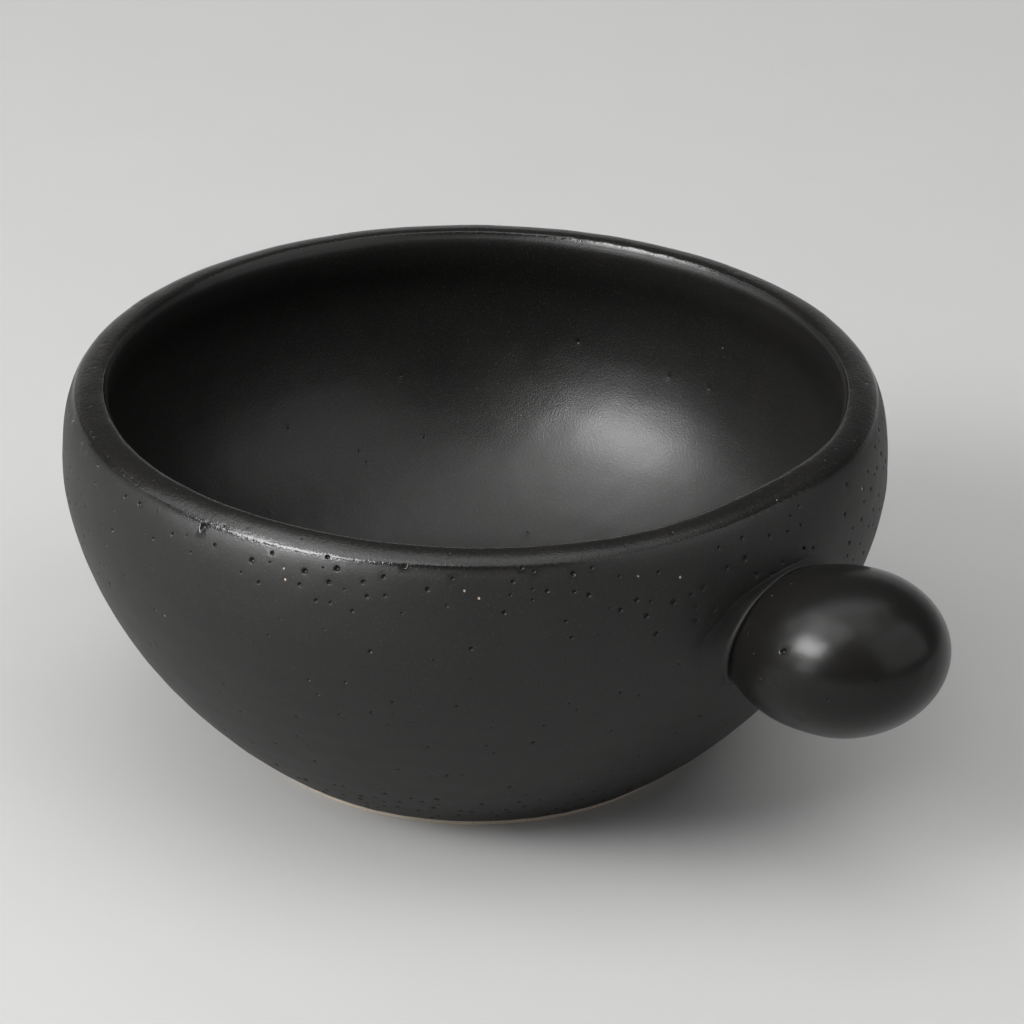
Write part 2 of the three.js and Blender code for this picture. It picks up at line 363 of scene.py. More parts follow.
# %% Turn the section
columns = 496
spiral_pitch = 6.5
spiral_depth = 0.012
swell_waves = (9, 2, 9)
swell_depth = 0.05
ripple_seed = 13
ripple_count = 28
ripple_round = 60  # most waves round the bowl
ripple_along = 0.9  # fastest wave along the section, in radians to the millimetre
ripple_depth = 0.02
ripple_limit = 2.0
calm_radius = 50.0
calm_power = 2.5


def all_round(count):
    """Evenly spaced angles, once round."""
    return np.arange(count) * 2 * math.pi / count


def ripples(angle, distance):
    """Small uneven waves in a skin, mostly between -2 and 2."""
    chance = np.random.default_rng(ripple_seed)
    total = 0
    for _ in range(ripple_count):
        across = chance.integers(-ripple_round, ripple_round + 1)
        down = chance.uniform(-ripple_along, ripple_along)
        phase = chance.uniform(0, 2 * math.pi)
        total = total + np.cos(across * angle + down * distance + phase)
    return total / math.sqrt(ripple_count)


angles = all_round(columns)
angle_grid, at_grid = np.meshgrid(angles, row_at)
spiral = np.cos(2 * math.pi * at_grid / spiral_pitch - angle_grid) - 1
swell = wander(angle_grid + at_grid / bowl_radius, *swell_waves) - 1
ripple = ripples(angle_grid, at_grid).clip(-ripple_limit, ripple_limit) - ripple_limit
calm = np.clip(rows[:, :1] / calm_radius, 0, 1) ** calm_power
calm[seam:] = 1
offset = calm * (spiral_depth * spiral + swell_depth * swell + ripple_depth * ripple)
radius_grid = np.maximum(rows[:, :1] + row_normal[:, :1] * offset, 0)
height_grid = np.minimum(rows[:, 1:] + row_normal[:, 1:] * offset, bowl_height)
bowl_points = turned(radius_grid, height_grid, angle_grid)
print("bowl skin:", bowl_points.shape[0], "x", bowl_points.shape[1], "points")

# %% [markdown]
# ## The rolled edge of the glaze
# Near the foot the glaze was wiped back with a sponge, and what stayed drew up into a thick, slightly
# wavy edge as it melted. The last rows roll the skin's end inward to the clay, half a millimetre
# behind it, and a wander moves the edge up and down.

# %% Roll the glaze edge
glaze_thickness = 0.5
roll_depth = glaze_thickness / 2
roll_rows = 6
edge_waves = (10, 4, 60)
edge_wave = 0.14
end_normal = row_normal[-1]
end_slope = unit(rows[-1] - rows[-2])
wave = np.clip(wander(angles, *edge_waves), -1, 1) * edge_wave
outward = spin(1, 0, angles)
edge_rows = []
for turn in np.linspace(0, math.pi / 2, roll_rows + 1)[1:]:
    down = (roll_depth + wave) * math.sin(turn)
    back = glaze_thickness * (1 - math.cos(turn))
    across = (end_slope[0] * down - end_normal[0] * back)[:, None]
    upward = (end_slope[1] * down - end_normal[1] * back)[:, None]
    edge_rows.append(bowl_points[-1] + across * outward + upward * (0, 0, 1))
outside_points = np.concatenate([bowl_points[seam:], np.stack(edge_rows)])
inside_points = bowl_points[:seam + 1]
print("the glaze ends", round(float(outside_points[-1, :, 2].mean()), 2), "mm above the table")

# %% [markdown]
# ## Pinholes
# As the glaze melted, gas blew out of the clay and left pinholes half a millimetre to a millimetre
# wide, thickest under the lip and round the foot. A bump texture can darken a dot, but it throws no
# shadow and vanishes at the bowl's edge, so each hole is cut into the mesh. A small block of the grid
# gives way to rings that fall from a soft edge to a rounded floor. Each ring is a share of the hole's
# radius and one of its depth.

# %% Make a pinhole
pit_rings = ((1.45, 0.0), (1.15, 0.04), (0.92, 0.36), (0.6, 0.82))
smooth_rings = 2  # the outer rings are round and the rest ragged
pit_margin = 0.4  # in faces of the grid


def between(points, down, across):
    """Points between the points of a grid, at fractions of its rows and columns."""
    wide = points.shape[1]
    row = np.floor(down).astype(int)
    column = np.floor(across).astype(int)
    past_row = (down - row)[..., None]
    past_column = (across - column)[..., None]

    def on_row(number):
        left, right = points[number, column % wide], points[number, (column + 1) % wide]
        return left * (1 - past_column) + right * past_column

    return on_row(row) * (1 - past_row) + on_row(row + 1) * past_row


def cell_shape(points, down, across):
    """Height, width and normal of the face of a grid that holds a place."""
    wide = points.shape[1]
    row, column = int(down), int(across) % wide
    downward = points[row + 1, column] - points[row, column]
    sideways = points[row, (column + 1) % wide] - points[row, column]
    return np.linalg.norm(downward), np.linalg.norm(sideways), unit(np.cross(downward, sideways))


def pit_block(points, down, across, radius):
    """Rows and columns of the grid that a pinhole takes up, and the points round them in order."""
    tall, wide, _ = cell_shape(points, down, across)
    reach = pit_rings[0][0] * radius
    top = math.floor(down - reach / tall - pit_margin)
    bottom = math.ceil(down + reach / tall + pit_margin)
    left = math.floor(across - reach / wide - pit_margin)
    right = math.ceil(across + reach / wide + pit_margin)
    edge = [(row, left) for row in range(top, bottom)]
    edge += [(bottom, column) for column in range(left, right)]
    edge += [(row, right) for row in range(bottom, top, -1)]
    edge += [(top, column) for column in range(right, left, -1)]
    return np.arange(top, bottom), np.arange(left, right), np.array(edge)


def pit_points(points, down, across, radius, depth, edge, ragged):
    """Points of a pinhole centred between a grid's points."""
    tall, wide, normal = cell_shape(points, down, across)
    turn = np.arctan2((edge[:, 1] - across) * wide, (edge[:, 0] - down) * tall)
    made = []
    for number, (spread, sink) in enumerate(pit_rings):
        reach = radius * spread * (1 if number < smooth_rings else ragged)
        flat = between(points, down + reach * np.cos(turn) / tall, across + reach * np.sin(turn) / wide)
        made.append(flat - depth * sink * normal)
    middle = between(points, np.array([down]), np.array([across]))
    return np.concatenate(made + [middle - depth * normal])


def pit_faces(sides):
    """Faces of a pinhole, numbered from the points round it to its middle."""
    faces = []
    last = sides * len(pit_rings)
    for outer in range(0, last, sides):
        for k in range(sides):
            after = (k + 1) % sides
            faces.append((outer + k, outer + after, outer + sides + after, outer + sides + k))
    return faces + [(last + k, last + (k + 1) % sides, last + sides) for k in range(sides)]


print("a pinhole has", len(pit_rings), "rings and a middle")

# %% [markdown]
# ## From a grid of points to a skin
# Every piece of this bowl is a sheet of rows and columns that closes on itself sideways, so one
# helper makes them all. Pinholes take the place of a few faces each, and a pole is closed with a fan.
# A point attribute called inside tells the glaze where a point lies: 1 inside the bowl, 0 outside,
# and below 0 on the lip's edges and deep in a pinhole, where the glaze is glossy. A few holes go down
# to the bare clay.

# %% Make skins
skin_seed = 11
pit_ragged = 0.12
pit_gloss = -0.35
steep_share = 0.5  # a hole deeper than this share of its radius is glossy within
bare_bands = 2  # bands of faces that are clay in a bare hole, from the middle out


def cut_pits(points, corner, deep, pits):
    """Cuts pinholes into a grid: the faces left whole, then points, attribute, faces and bare faces."""
    tall, wide = corner.shape
    chance = np.random.default_rng(skin_seed)
    whole = np.ones((tall - 1, wide), bool)
    places, depths, faces, bare_faces = [points.reshape(-1, 3)], [deep], [], []
    total = tall * wide
    for down, across, radius, depth, bare in pits:
        block_rows, block_columns, edge = pit_block(points, down, across, radius)
        if block_rows[0] < 0 or block_rows[-1] >= tall - 1:
            continue
        block = np.ix_(block_rows, block_columns % wide)
        if not whole[block].all():
            continue
        whole[block] = False
        sides = len(edge)
        ragged = chance.uniform(1 - pit_ragged, 1 + pit_ragged, sides)
        made = pit_points(points, down, across, radius, depth, edge, ragged)
        number = np.concatenate([corner[edge[:, 0], edge[:, 1] % wide], total + np.arange(len(made))])
        faces += [tuple(number[list(face)]) for face in pit_faces(sides)]
        if bare:
            bare_faces += range(len(faces) - bare_bands * sides, len(faces))
        glossy = np.full(len(made), deep[number[0]])
        if depth > steep_share * radius:
            glossy[smooth_rings * sides:] = pit_gloss
        places.append(made)
        depths.append(glossy)
        total += len(made)
    return whole, places, depths, faces, bare_faces


def smooth_mesh(name, points, faces):
    """A mesh with smooth shading."""
    mesh = bpy.data.meshes.new(name)
    mesh.from_pydata(points, [], faces)
    mesh.polygons.foreach_set("use_smooth", np.ones(len(faces), bool))
    return mesh


def skin(name, points, pits=(), close_first=False, close_last=False, inside=None):
    """A mesh object from rows and columns of points, with pinholes at (down, across, radius, depth, bare)."""
    tall, wide = points.shape[:2]
    corner = np.arange(tall * wide).reshape(tall, wide)
    right = np.roll(corner, -1, axis=1)
    cells = np.stack([corner[:-1], corner[1:], right[1:], right[:-1]], -1)
    deep = np.zeros(tall * wide) if inside is None else np.repeat(inside, wide)
    whole, places, depths, faces, bare_faces = cut_pits(points, corner, deep, pits)
    holes = len(places) - 1
    faces += cells[whole].tolist()
    for close, edge in ((close_first, corner[0]), (close_last, corner[-1][::-1])):
        if close:
            pole = sum(map(len, places))
            faces += [(pole, int(a), int(b)) for a, b in zip(edge, np.roll(edge, -1))]
            places.append(places[0][edge].mean(0)[None])
            depths.append(deep[edge[:1]])
    mesh = smooth_mesh(name, to_frame(np.concatenate(places)).tolist(), faces)
    finish = np.zeros(len(faces), np.int32)
    finish[bare_faces] = 1
    mesh.polygons.foreach_set("material_index", finish)
    mesh.attributes.new("inside", "FLOAT", "POINT").data.foreach_set("value", np.concatenate(depths))
    mesh.update()
    print(name, "has", len(faces), "faces and", holes, "pinholes")
    return put(name, mesh)


# %% [markdown]
# ## Where the pinholes lie
# A few large holes under the lip at the left front catch the eye, so they are placed one by one, each
# by its angle, height and radius. The rest are scattered by seeded chance in patches: a band under the
# lip, a band at the foot, thin scatter between, and a rough stretch of lip on the far side. A patch has
# its span of angles and of heights, its count and its span of radii. Angles are in degrees from the
# handle, turning toward +Y, and lengths in millimetres.

# %% Scatter the pinholes
large_pits = (
    (-86.9, 67.6, 0.55), (-77.9, 64.7, 0.50), (-75.1, 66.9, 0.36), (-69.9, 65.0, 0.50),
    (-68.6, 63.4, 0.36), (-67.0, 67.9, 0.38), (-65.4, 66.4, 0.50), (-66.3, 63.8, 0.42),
    (-64.0, 64.5, 0.38), (-61.6, 64.7, 0.38), (-70.4, 62.4, 0.36), (-72.6, 62.8, 0.34),
    (-76.4, 61.0, 0.36), (-56.2, 67.8, 0.34), (-40.6, 67.8, 0.34),
)
outside_patches = (
    ("front left shoulder", (-100, -50), (59, 67.4), 44, (0.2, 0.44)),
    ("left side", (-142, -100), (44, 67.4), 56, (0.22, 0.46)),
    ("front shoulder", (-50, -20), (58, 67.4), 34, (0.22, 0.46)),
    ("above the handle", (-24, 6), (52, 67), 64, (0.3, 0.54)),
    ("right side", (10, 50), (44, 67.4), 60, (0.28, 0.5)),
    ("right limb", (24, 44), (50, 66), 40, (0.26, 0.46)),
    ("front foot", (-100, -20), (2.8, 13), 110, (0.3, 0.56)),
    ("side foot", (-140, 40), (2.8, 13), 50, (0.24, 0.46)),
    ("front wall", (-142, 45), (13, 58), 130, (0.18, 0.4)),
    ("back shoulder", (50, 218), (48, 67.4), 90, (0.2, 0.46)),
    ("back wall", (45, 218), (2.8, 48), 110, (0.18, 0.4)),
    ("rough lip", (78, 128), (68.0, 69.4), 40, (0.12, 0.24)),
    ("lip", (0, 360), (68.4, 69.4), 40, (0.12, 0.22)),
)
inside_patches = (("inside", (0, 360), (12, 60), 40, (0.2, 0.34)),)
outside_seed = 23
inside_seed = 24
outside_bare = 0.045  # share of the holes that go down to the clay
bare_size = 0.75
small_power = 1.5  # above 1, so that small holes are the commoner
depth_share = 1.2
deepest_pit = 0.8
gloss_from = 0.1
inside_reach = 1.5  # the inside's gloss takes over within this distance of the lip
full_turn = 360
column_degrees = full_turn / columns


def scatter(points, patches, placed, seed, bare_share):
    """Pinholes on a bowl skin as (down, across, radius, depth, bare)."""
    chance = np.random.default_rng(seed)
    wanted = list(placed)
    for place, turn, rise, count, (least, most) in patches:
        print(count, "pinholes:", place)
        for _ in range(count):
            radius = least + (most - least) * chance.random() ** small_power
            wanted.append((chance.uniform(*turn), chance.uniform(*rise), radius))
    heights = points[:, 0, 2]
    top = int(np.argmax(heights))
    rising = top > len(points) // 2
    line = heights[:top] if rising else heights[top:][::-1]
    made = []
    for degrees, height, radius in wanted:
        at = np.interp(height, line, np.arange(len(line)))
        down = at if rising else top + len(line) - 1 - at
        across = degrees / column_degrees % columns
        bare = chance.random() < bare_share
        radius = radius * (bare_size if bare else 1)
        made.append((down, across, radius, min(depth_share * radius, deepest_pit), bare))
    return made


outside_pits = scatter(outside_points, outside_patches, large_pits, outside_seed, outside_bare)
inside_pits = scatter(inside_points, inside_patches, (), inside_seed, 0)
within = np.clip((lip_at[0] - row_at) / inside_reach, 0, 1)
lip_share = np.where(row_edge > gloss_from, -row_edge, within)
outside_share = np.concatenate([lip_share[seam:], np.zeros(roll_rows)])
outside_coat = skin("outside_coat", outside_points, outside_pits, inside=outside_share)
inside_coat = skin("inside_coat", inside_points, inside_pits, close_first=True, inside=lip_share[:seam + 1])

# %% [markdown]
# ## The thrown clay under the glaze
# The clay body carries everything else, but nothing of it shows once it is glazed. It follows the same
# section, a little deeper than the deepest pinhole, and closes across the underside above the foot ring.

# %% Make the clay body
clay_columns = 144
clay_inset = 1.2
foot_height = 3.0
clay_rows = rows - row_normal * clay_inset
clay_rows = clay_rows[(clay_rows[:, 1] > foot_height) | (row_at < crest_at)]
clay_rows[0, 0] = pole_radius
under = np.array([(clay_rows[-1, 0], foot_height), (pole_radius, foot_height)])
clay_line = np.concatenate([clay_rows, under])
clay_points = turned(clay_line[:, :1], clay_line[:, 1:], all_round(clay_columns))
clay_body = skin("clay_body", clay_points, close_first=True, close_last=True)

# %% [markdown]
# ## The bare foot ring
# The ring that the bowl stands on was trimmed on the wheel and left unglazed, so that it would not
# stick to the kiln shelf. It is drawn as its own small section: down the outside to a worn edge,
# across the flat, round the inner edge and up into the recess. Grit roughens the clay a little.

# %% Make the foot ring
foot_outer = 41.2
foot_width = 7.1
foot_bevel = 0.3
foot_flare = 0.15
flare_height = 1.2
flat_inset = 2
recess_slope = 1.2
foot_steps = 5
foot_columns = 240
grit_lift = 0.03
clay_top = (42.9, foot_height)
foot_inner = foot_outer - foot_width


def quarter(centre, across, up):
    """A quarter round, from its side to its top."""
    turn = np.linspace(0, math.pi / 2, fine)
    return np.asarray(centre) + np.stack([across * np.cos(turn), up * np.sin(turn)], 1)


outer_round = quarter((foot_outer - foot_bevel, foot_bevel), foot_bevel, -foot_bevel)[::fine // foot_steps]
inner_round = quarter((foot_inner + foot_bevel, foot_bevel), -foot_bevel, -foot_bevel)[::-fine // foot_steps]
foot_line = np.concatenate([[clay_top, (foot_outer + foot_flare, flare_height)], outer_round,
                            [(foot_outer - flat_inset, 0), (foot_inner + flat_inset, 0)], inner_round,
                            [(foot_inner - recess_slope, foot_height)]])
foot_angles = all_round(foot_columns)
foot_grit = np.random.default_rng(skin_seed).uniform(0, grit_lift, (len(foot_line), foot_columns))
bare_foot = skin("bare_foot", spin(foot_line[:, :1] - foot_grit, foot_line[:, 1:] + foot_grit, foot_angles))

# %% [markdown]
# ## The glazed recess
# Inside the ring the base was glazed too. Its coat is flat in the middle and turns down the ring's
# inner side to a wiped edge. The wheel's centre shows as a faint swirl.

# %% Make the recess coat
recess_edge = foot_inner - glaze_thickness
recess_corner = recess_edge - recess_slope
recess_top = foot_height - glaze_thickness
recess_low = 0.9
recess_middle = 0.8  # radius of the innermost row
corner_round = 0.8
flat_rows = 24
corner_rows = 5
wiped_back = 0.1
wiped_down = 0.05
recess_waves = (12, 3, 40)
recess_wave = 0.1
wave_reach = 0.1  # the wander moves the rows this close to the wiped edge
recess_pitch = spiral_pitch / 2
recess_radii = np.linspace(recess_middle, recess_corner - corner_round, flat_rows)
recess_flat = np.stack([recess_radii, np.full(flat_rows, recess_top)], 1)
corner_turn = np.linspace(0, math.pi / 2, corner_rows)[1:]
recess_round = np.stack([recess_corner - corner_round * (1 - np.sin(corner_turn)),
                         recess_top - corner_round * (1 - np.cos(corner_turn))], 1)
recess_end = np.array([(recess_edge - wiped_back, recess_low), (foot_inner, recess_low - wiped_down)])
recess_line = np.concatenate([recess_flat, recess_round, recess_end])[::-1]
swirl = spiral_depth * np.cos(2 * math.pi * recess_line[:, :1] / recess_pitch - foot_angles)
wiped_rows = recess_line[:, 1:] < recess_low + wave_reach
recess_heights = recess_line[:, 1:] - np.abs(swirl)
recess_heights += np.where(wiped_rows, recess_wave * wander(foot_angles, *recess_waves), 0)
recess_coat = skin("recess_coat", spin(recess_line[:, :1], recess_heights, foot_angles), close_last=True)

# %% [markdown]
# ## The egg
# The handle is an egg a little wider than it is tall, tipped up by ten degrees, with its narrow end
# buried in the wall. A unit sphere could be scaled, but the two ends have different lengths, so the
# egg is written as a formula that also serves to find where it runs into the wall. Its free end is a
# tenth of a millimetre shorter than the CAD egg's, so that the smooth skin stays within the CAD box.

# %% Write the egg
egg_centre = np.array((87.8, 0.0, 46.0))
egg_tilt = math.radians(9.8)
egg_half_width = 17.65
egg_half_height = 14.5
egg_front = 18.9
egg_rear = 23.2
nearly_all = 0.999
halvings = 40
egg_axis = np.array((math.cos(egg_tilt), 0, math.sin(egg_tilt)))
egg_up = np.array((-math.sin(egg_tilt), 0, math.cos(egg_tilt)))
egg_side = np.array((0.0, -1.0, 0.0))
outer_line = section[from_start >= crest_at][::-1]


def egg_point(round_angle, reach, grow):
    """A point on the grown egg: its angle from the top toward -Y and its reach past the widest ring."""
    round_angle, reach, grow = np.broadcast_arrays(round_angle, reach, grow)
    length = np.where(reach < 0, egg_rear, egg_front) + grow
    share = np.sqrt(np.clip(1 - (reach / length) ** 2, 0, None))[..., None]
    up = ((egg_half_height + grow) * np.cos(round_angle))[..., None] * egg_up
    side = ((egg_half_width + grow) * np.sin(round_angle))[..., None] * egg_side
    return egg_centre + reach[..., None] * egg_axis + share * (up + side)


def wall_gap(points):
    """How far points lie outside the bowl's wall, measured along the radius."""
    radius = np.hypot(points[..., 0], points[..., 1])
    wall = np.interp(points[..., 2], outer_line[:, 1], outer_line[:, 0])
    return radius - wall + press(wall, points[..., 2], np.arctan2(points[..., 1], points[..., 0]))


def joint_reach(round_angle, grow):
    """Distance along the egg, from its widest ring, at which the grown egg meets the wall."""
    buried = np.full(np.shape(round_angle), -egg_rear * nearly_all)
    free = np.full(np.shape(round_angle), egg_front / 2)
    for _ in range(halvings):
        middle = (buried + free) / 2
        outside = wall_gap(egg_point(round_angle, middle, grow)) > 0
        free = np.where(outside, middle, free)
        buried = np.where(outside, buried, middle)
    return free


print("on top the wall is", round(-float(joint_reach(0.0, 0.0)), 1), "mm behind the egg's widest ring")

# %% [markdown]
# ## The handle's coat
# Rows run from the joint to the tip, and each column starts where its own line leaves the wall, so no
# face is wasted inside the bowl. The potter pierced the egg so that steam could leave it in the kiln:
# that vent is the largest hole, and the first in the list. Two shallow dents and a slow swell keep the
# egg from looking machined. Each hole is given by its degrees round from the top, its distance along
# from the widest ring and its radius, and a dent also by its depth.

# %% Make the handle's coat
egg_columns = 132
egg_rows = 72
egg_tuck = 1.2  # how far the coat runs on into the wall
egg_tip_cut = 0.1
tip_gap = 0.02  # the last row stops this many radians short of the tip
row_power = 0.9  # below 1, so that rows lie closer toward the tip
egg_waves = (15, 1, 5)
egg_swell = 0.1
swell_turn = 0.09  # the swell winds round by this many radians for each millimetre
outward_lean = 0.4
egg_pit_places = (
    (66, 0.5, 0.52), (82.4, 15.7, 0.26), (30, -8, 0.22), (48, -12, 0.24), (18, -6, 0.2),
    (60, -9, 0.2), (72, -6, 0.22), (88, -4, 0.24), (100, 3, 0.22), (98, 9, 0.26),
    (-40, -5, 0.26), (-75, 4, 0.3), (-110, -3, 0.24), (150, 2, 0.26), (-150, 9, 0.24),
)
egg_dents = [(107, 6.0, 1.6, 0.2), (113, 3.0, 1.3, 0.08)]
egg_angles = all_round(egg_columns)
egg_start = joint_reach(egg_angles, 0.0) - egg_tuck
start_turn = np.arcsin(np.clip(egg_start / egg_rear, -1, 0))
tip_turn = math.pi / 2 - tip_gap
row_share = np.linspace(0, 1, egg_rows)[:, None] ** row_power
egg_turn = start_turn + (tip_turn - start_turn) * row_share
egg_reach = np.where(egg_turn < 0, egg_rear, egg_front - egg_tip_cut) * np.sin(egg_turn)
egg_lump = wander(egg_angles + swell_turn * egg_reach, *egg_waves)
fade_tip = np.clip((egg_front - egg_reach) / egg_front, 0, 1)
egg_points = egg_point(egg_angles, egg_reach, 0.0)
egg_out = unit(egg_points - egg_centre - egg_reach[..., None] * egg_axis * outward_lean)
egg_points = egg_points + egg_out * (egg_swell * egg_lump * fade_tip)[..., None]
egg_holes = [(*place, min(depth_share * place[2], deepest_pit)) for place in egg_pit_places]
egg_pits = []
for degrees, reach, radius, depth in egg_holes + egg_dents:
    column = degrees * egg_columns / full_turn
    reaches = egg_reach[:, int(round(column)) % egg_columns]
    down = float(np.interp(reach, reaches, np.arange(egg_rows)))
    egg_pits.append((down, (egg_columns - 1 - column) % egg_columns, radius, depth, False))
handle_coat = skin("handle_coat", egg_points[:, ::-1], egg_pits, close_last=True)

# %% [markdown]
# ## The slip collar
# Handle and bowl were joined with slip, which squeezed out and was smoothed back with a finger. From
# the wall it climbs in a hollow curve to a thin ridge that runs on into the egg. The collar is a short
# section like the others, but it runs round the joint instead of round the axis: each of its points is
# where an egg grown by so much meets the wall, lifted off the wall by so much. It is widest at the two
# sides of the handle and almost gone above and below.

# %% Make the slip collar
collar_columns = 240
collar_line = ((7.0, -0.16), (5.8, -0.03), (4.8, 0.1), (3.9, 0.28), (3.1, 0.52), (2.45, 0.8), (2.0, 1.04),
               (1.78, 1.2), (1.66, 1.42), (1.56, 1.68), (1.44, 1.86), (1.28, 1.95), (1.1, 1.96), (0.9, 1.93),
               (0.65, 1.9), (0.4, 1.9), (0.1, 1.92), (-0.6, 1.95))
collar_waves = (16, 2, 14)
collar_wander = 0.16
wander_reach = 5  # the points grown by less than this wander round the joint
wander_lift = 0.6
collar_least = 0.16
collar_power = 2.2
nudge = 0.05
collar_angles = all_round(collar_columns)


def wall_normal(points):
    """Unit normals of the bowl's wall near points, from small steps across it."""
    return unit(np.stack([wall_gap(points + s) - wall_gap(points - s) for s in np.eye(3) * nudge], -1))


collar_rows = []
drift = wander(collar_angles, *collar_waves) * collar_wander
collar_size = collar_least + (1 - collar_least) * np.abs(np.sin(collar_angles)) ** collar_power
for grow, lift in collar_line:
    spread = grow * (collar_size if grow > 0 else 1) + drift * (0 < grow < wander_reach)
    base = egg_point(collar_angles, joint_reach(collar_angles, spread), spread)
    rise = lift * (collar_size * (1 + drift * wander_lift) if lift > 0 else np.ones(collar_columns))
    collar_rows.append(base + wall_normal(base) * rise[:, None])
slip_collar = skin("slip_collar", np.stack(collar_rows)[:, ::-1])

# %% [markdown]
# ## Helpers for finishes
# A finish is a small graph of nodes. Most of its lines would only make nodes and join sockets, so a
# few helpers take that over, and what is left reads like a recipe.

# %% Make the node helpers


def mix(name, recipe, *choices):
    """A material from a recipe, which is handed a helper that adds nodes, and the place on the object."""
    material = bpy.data.materials.new(name)
    material.use_nodes = True
    tree = material.node_tree
    tree.nodes.clear()

    def add(kind, inputs=None, **settings):
        made = tree.nodes.new(kind)
        for key, value in settings.items():
            setattr(made, key, value)
        for key, value in (inputs or {}).items():
            if isinstance(value, bpy.types.NodeSocket):
                tree.links.new(value, made.inputs[key])
            else:
                made.inputs[key].default_value = value
        return made

    place = add("ShaderNodeTexCoord").outputs["Object"]
    shader = add("ShaderNodeBsdfPrincipled", recipe(add, place, *choices))
    add("ShaderNodeOutputMaterial", {"Surface": shader.outputs["BSDF"]})
    print(name, "has", len(tree.nodes), "nodes")
    return material


def noise(add, place, settings):
    """A cloudy pattern between 0 and 1."""
    return add("ShaderNodeTexNoise", {"Vector": place, **settings}).outputs["Fac"]


def blend(add, share, first, second):
    """Mixes two colours."""
    inputs = {"Factor": share, "A": first, "B": second}
    return add("ShaderNodeMix", inputs, data_type="RGBA").outputs["Result"]


def stretch(add, value, low, high, from_low=0.0, from_high=1.0):
    """Carries one range of a value to another, and holds it at the ends."""
    limits = {"From Min": from_low, "From Max": from_high, "To Min": low, "To Max": high}
    return add("ShaderNodeMapRange", {"Value": value, **limits}).outputs["Result"]


def reckon(add, operation, *values):
    """A sum or a product of values."""
    return add("ShaderNodeMath", dict(enumerate(values)), operation=operation).outputs["Value"]


def bumps(add, layers):
    """The normal after a chain of bumps, the coarsest first, with depths in millimetres."""
    normal = None
    for height, depth in layers:
        inputs = {"Height": height, "Strength": 1.0, "Distance": depth * MM}
        if normal is not None:
            inputs["Normal"] = normal
        normal = add("ShaderNodeBump", inputs).outputs["Normal"]
    return normal


print("node helpers ready")

# %% [markdown]
# ## The black glaze
# The glaze is a satin black: almost no colour of its own, and a skin like fine orange peel. It is
# driest outside, smoother inside where it lies thick, and glossy on the lip's edges, in the deep
# pinholes and on the handle. Cloudy noise moves the colour between black and a burnt brown, the
# finest grain shows as paler specks, and wheel rings, peel, grain and knobs along the lip's edges
# make the bump. It is drawn in object coordinates, so it stays put from every side.

# %% Mix the glaze
glaze_black = (0.0088, 0.0087, 0.0086, 1)
glaze_brown = (0.0130, 0.0120, 0.0111, 1)
speck_brown = (0.035, 0.032, 0.028, 1)
speck_low = 0.62
speck_high = 0.72
rough_outside = 0.52
rough_inside = 0.36
rough_handle = 0.26
rough_edge = 0.15
rough_spread = 0.10
glaze_bend = 1.42  # how strongly the glaze bends light, which sets its gloss
handle_bend = 1.31
cloud_noise = {"Scale": 70, "Detail": 5.0, "Roughness": 0.6}
peel_noise = {"Scale": 650, "Detail": 2.0}
grain_noise = {"Scale": 3200, "Detail": 2.0}
ring_noise = {"Scale": 420, "Detail": 3.0}
knob_noise = {"Scale": 1100, "Detail": 2.0}
ring_depth = 0.010
knob_depth = 0.07
peel_depth = 0.010
grain_depth = 0.038
handle_grain = 0.016


def wheel_place(add, place):
    """Coordinates that are the same all round the bowl's axis, so that a noise in them makes rings."""
    middle = add("ShaderNodeVectorMath", {0: place, 1: (axis_x * MM, 0, 0)}, operation="SUBTRACT")
    parts = add("ShaderNodeSeparateXYZ", {"Vector": middle.outputs["Vector"]}).outputs
    flat = add("ShaderNodeCombineXYZ", {"X": parts["X"], "Y": parts["Y"]}).outputs["Vector"]
    radius = add("ShaderNodeVectorMath", {0: flat}, operation="LENGTH").outputs["Value"]
    return add("ShaderNodeCombineXYZ", {"X": radius, "Z": parts["Z"]}).outputs["Vector"]


def glaze_recipe(add, place, rough_low, rough_high, light_bend, grain_rise, speck_tint):
    """The satin black glaze, with one roughness outside and one inside the bowl."""
    inside = add("ShaderNodeAttribute", attribute_name="inside").outputs["Fac"]
    cloud = noise(add, place, cloud_noise)
    grain = noise(add, place, grain_noise)
    specks = stretch(add, grain, 0.0, 1.0, speck_low, speck_high)
    tint = blend(add, specks, blend(add, cloud, glaze_black, glaze_brown), speck_tint)
    dry = stretch(add, inside, rough_low - rough_spread / 2, rough_high - rough_spread / 2)
    glossier = stretch(add, inside, rough_edge - rough_low, 0.0, -1.0, 0.0)
    rough = reckon(add, "MULTIPLY_ADD", cloud, rough_spread, reckon(add, "ADD", dry, glossier))
    at_edge = stretch(add, inside, 0.0, 1.0, 0.0, -1.0)
    knobs = reckon(add, "MULTIPLY", noise(add, place, knob_noise), at_edge)
    rings = noise(add, wheel_place(add, place), ring_noise)
    peel = noise(add, place, peel_noise)
    layers = ((rings, ring_depth), (knobs, knob_depth), (peel, peel_depth), (grain, grain_rise))
    return {"Base Color": tint, "Normal": bumps(add, layers), "Roughness": rough, "IOR": light_bend}


black_glaze = mix("black_glaze", glaze_recipe,
                  rough_outside, rough_inside, glaze_bend, grain_depth, speck_brown)
handle_glaze = mix("handle_glaze", glaze_recipe,
                   rough_handle, rough_handle, handle_bend, handle_grain, glaze_brown)

# %% [markdown]
# ## The bare clay
# The clay is a pale buff stoneware, dry and gritty. A cloudy noise moves its colour. A fine one
# darkens single grains, makes the gloss uneven and raises the bump.

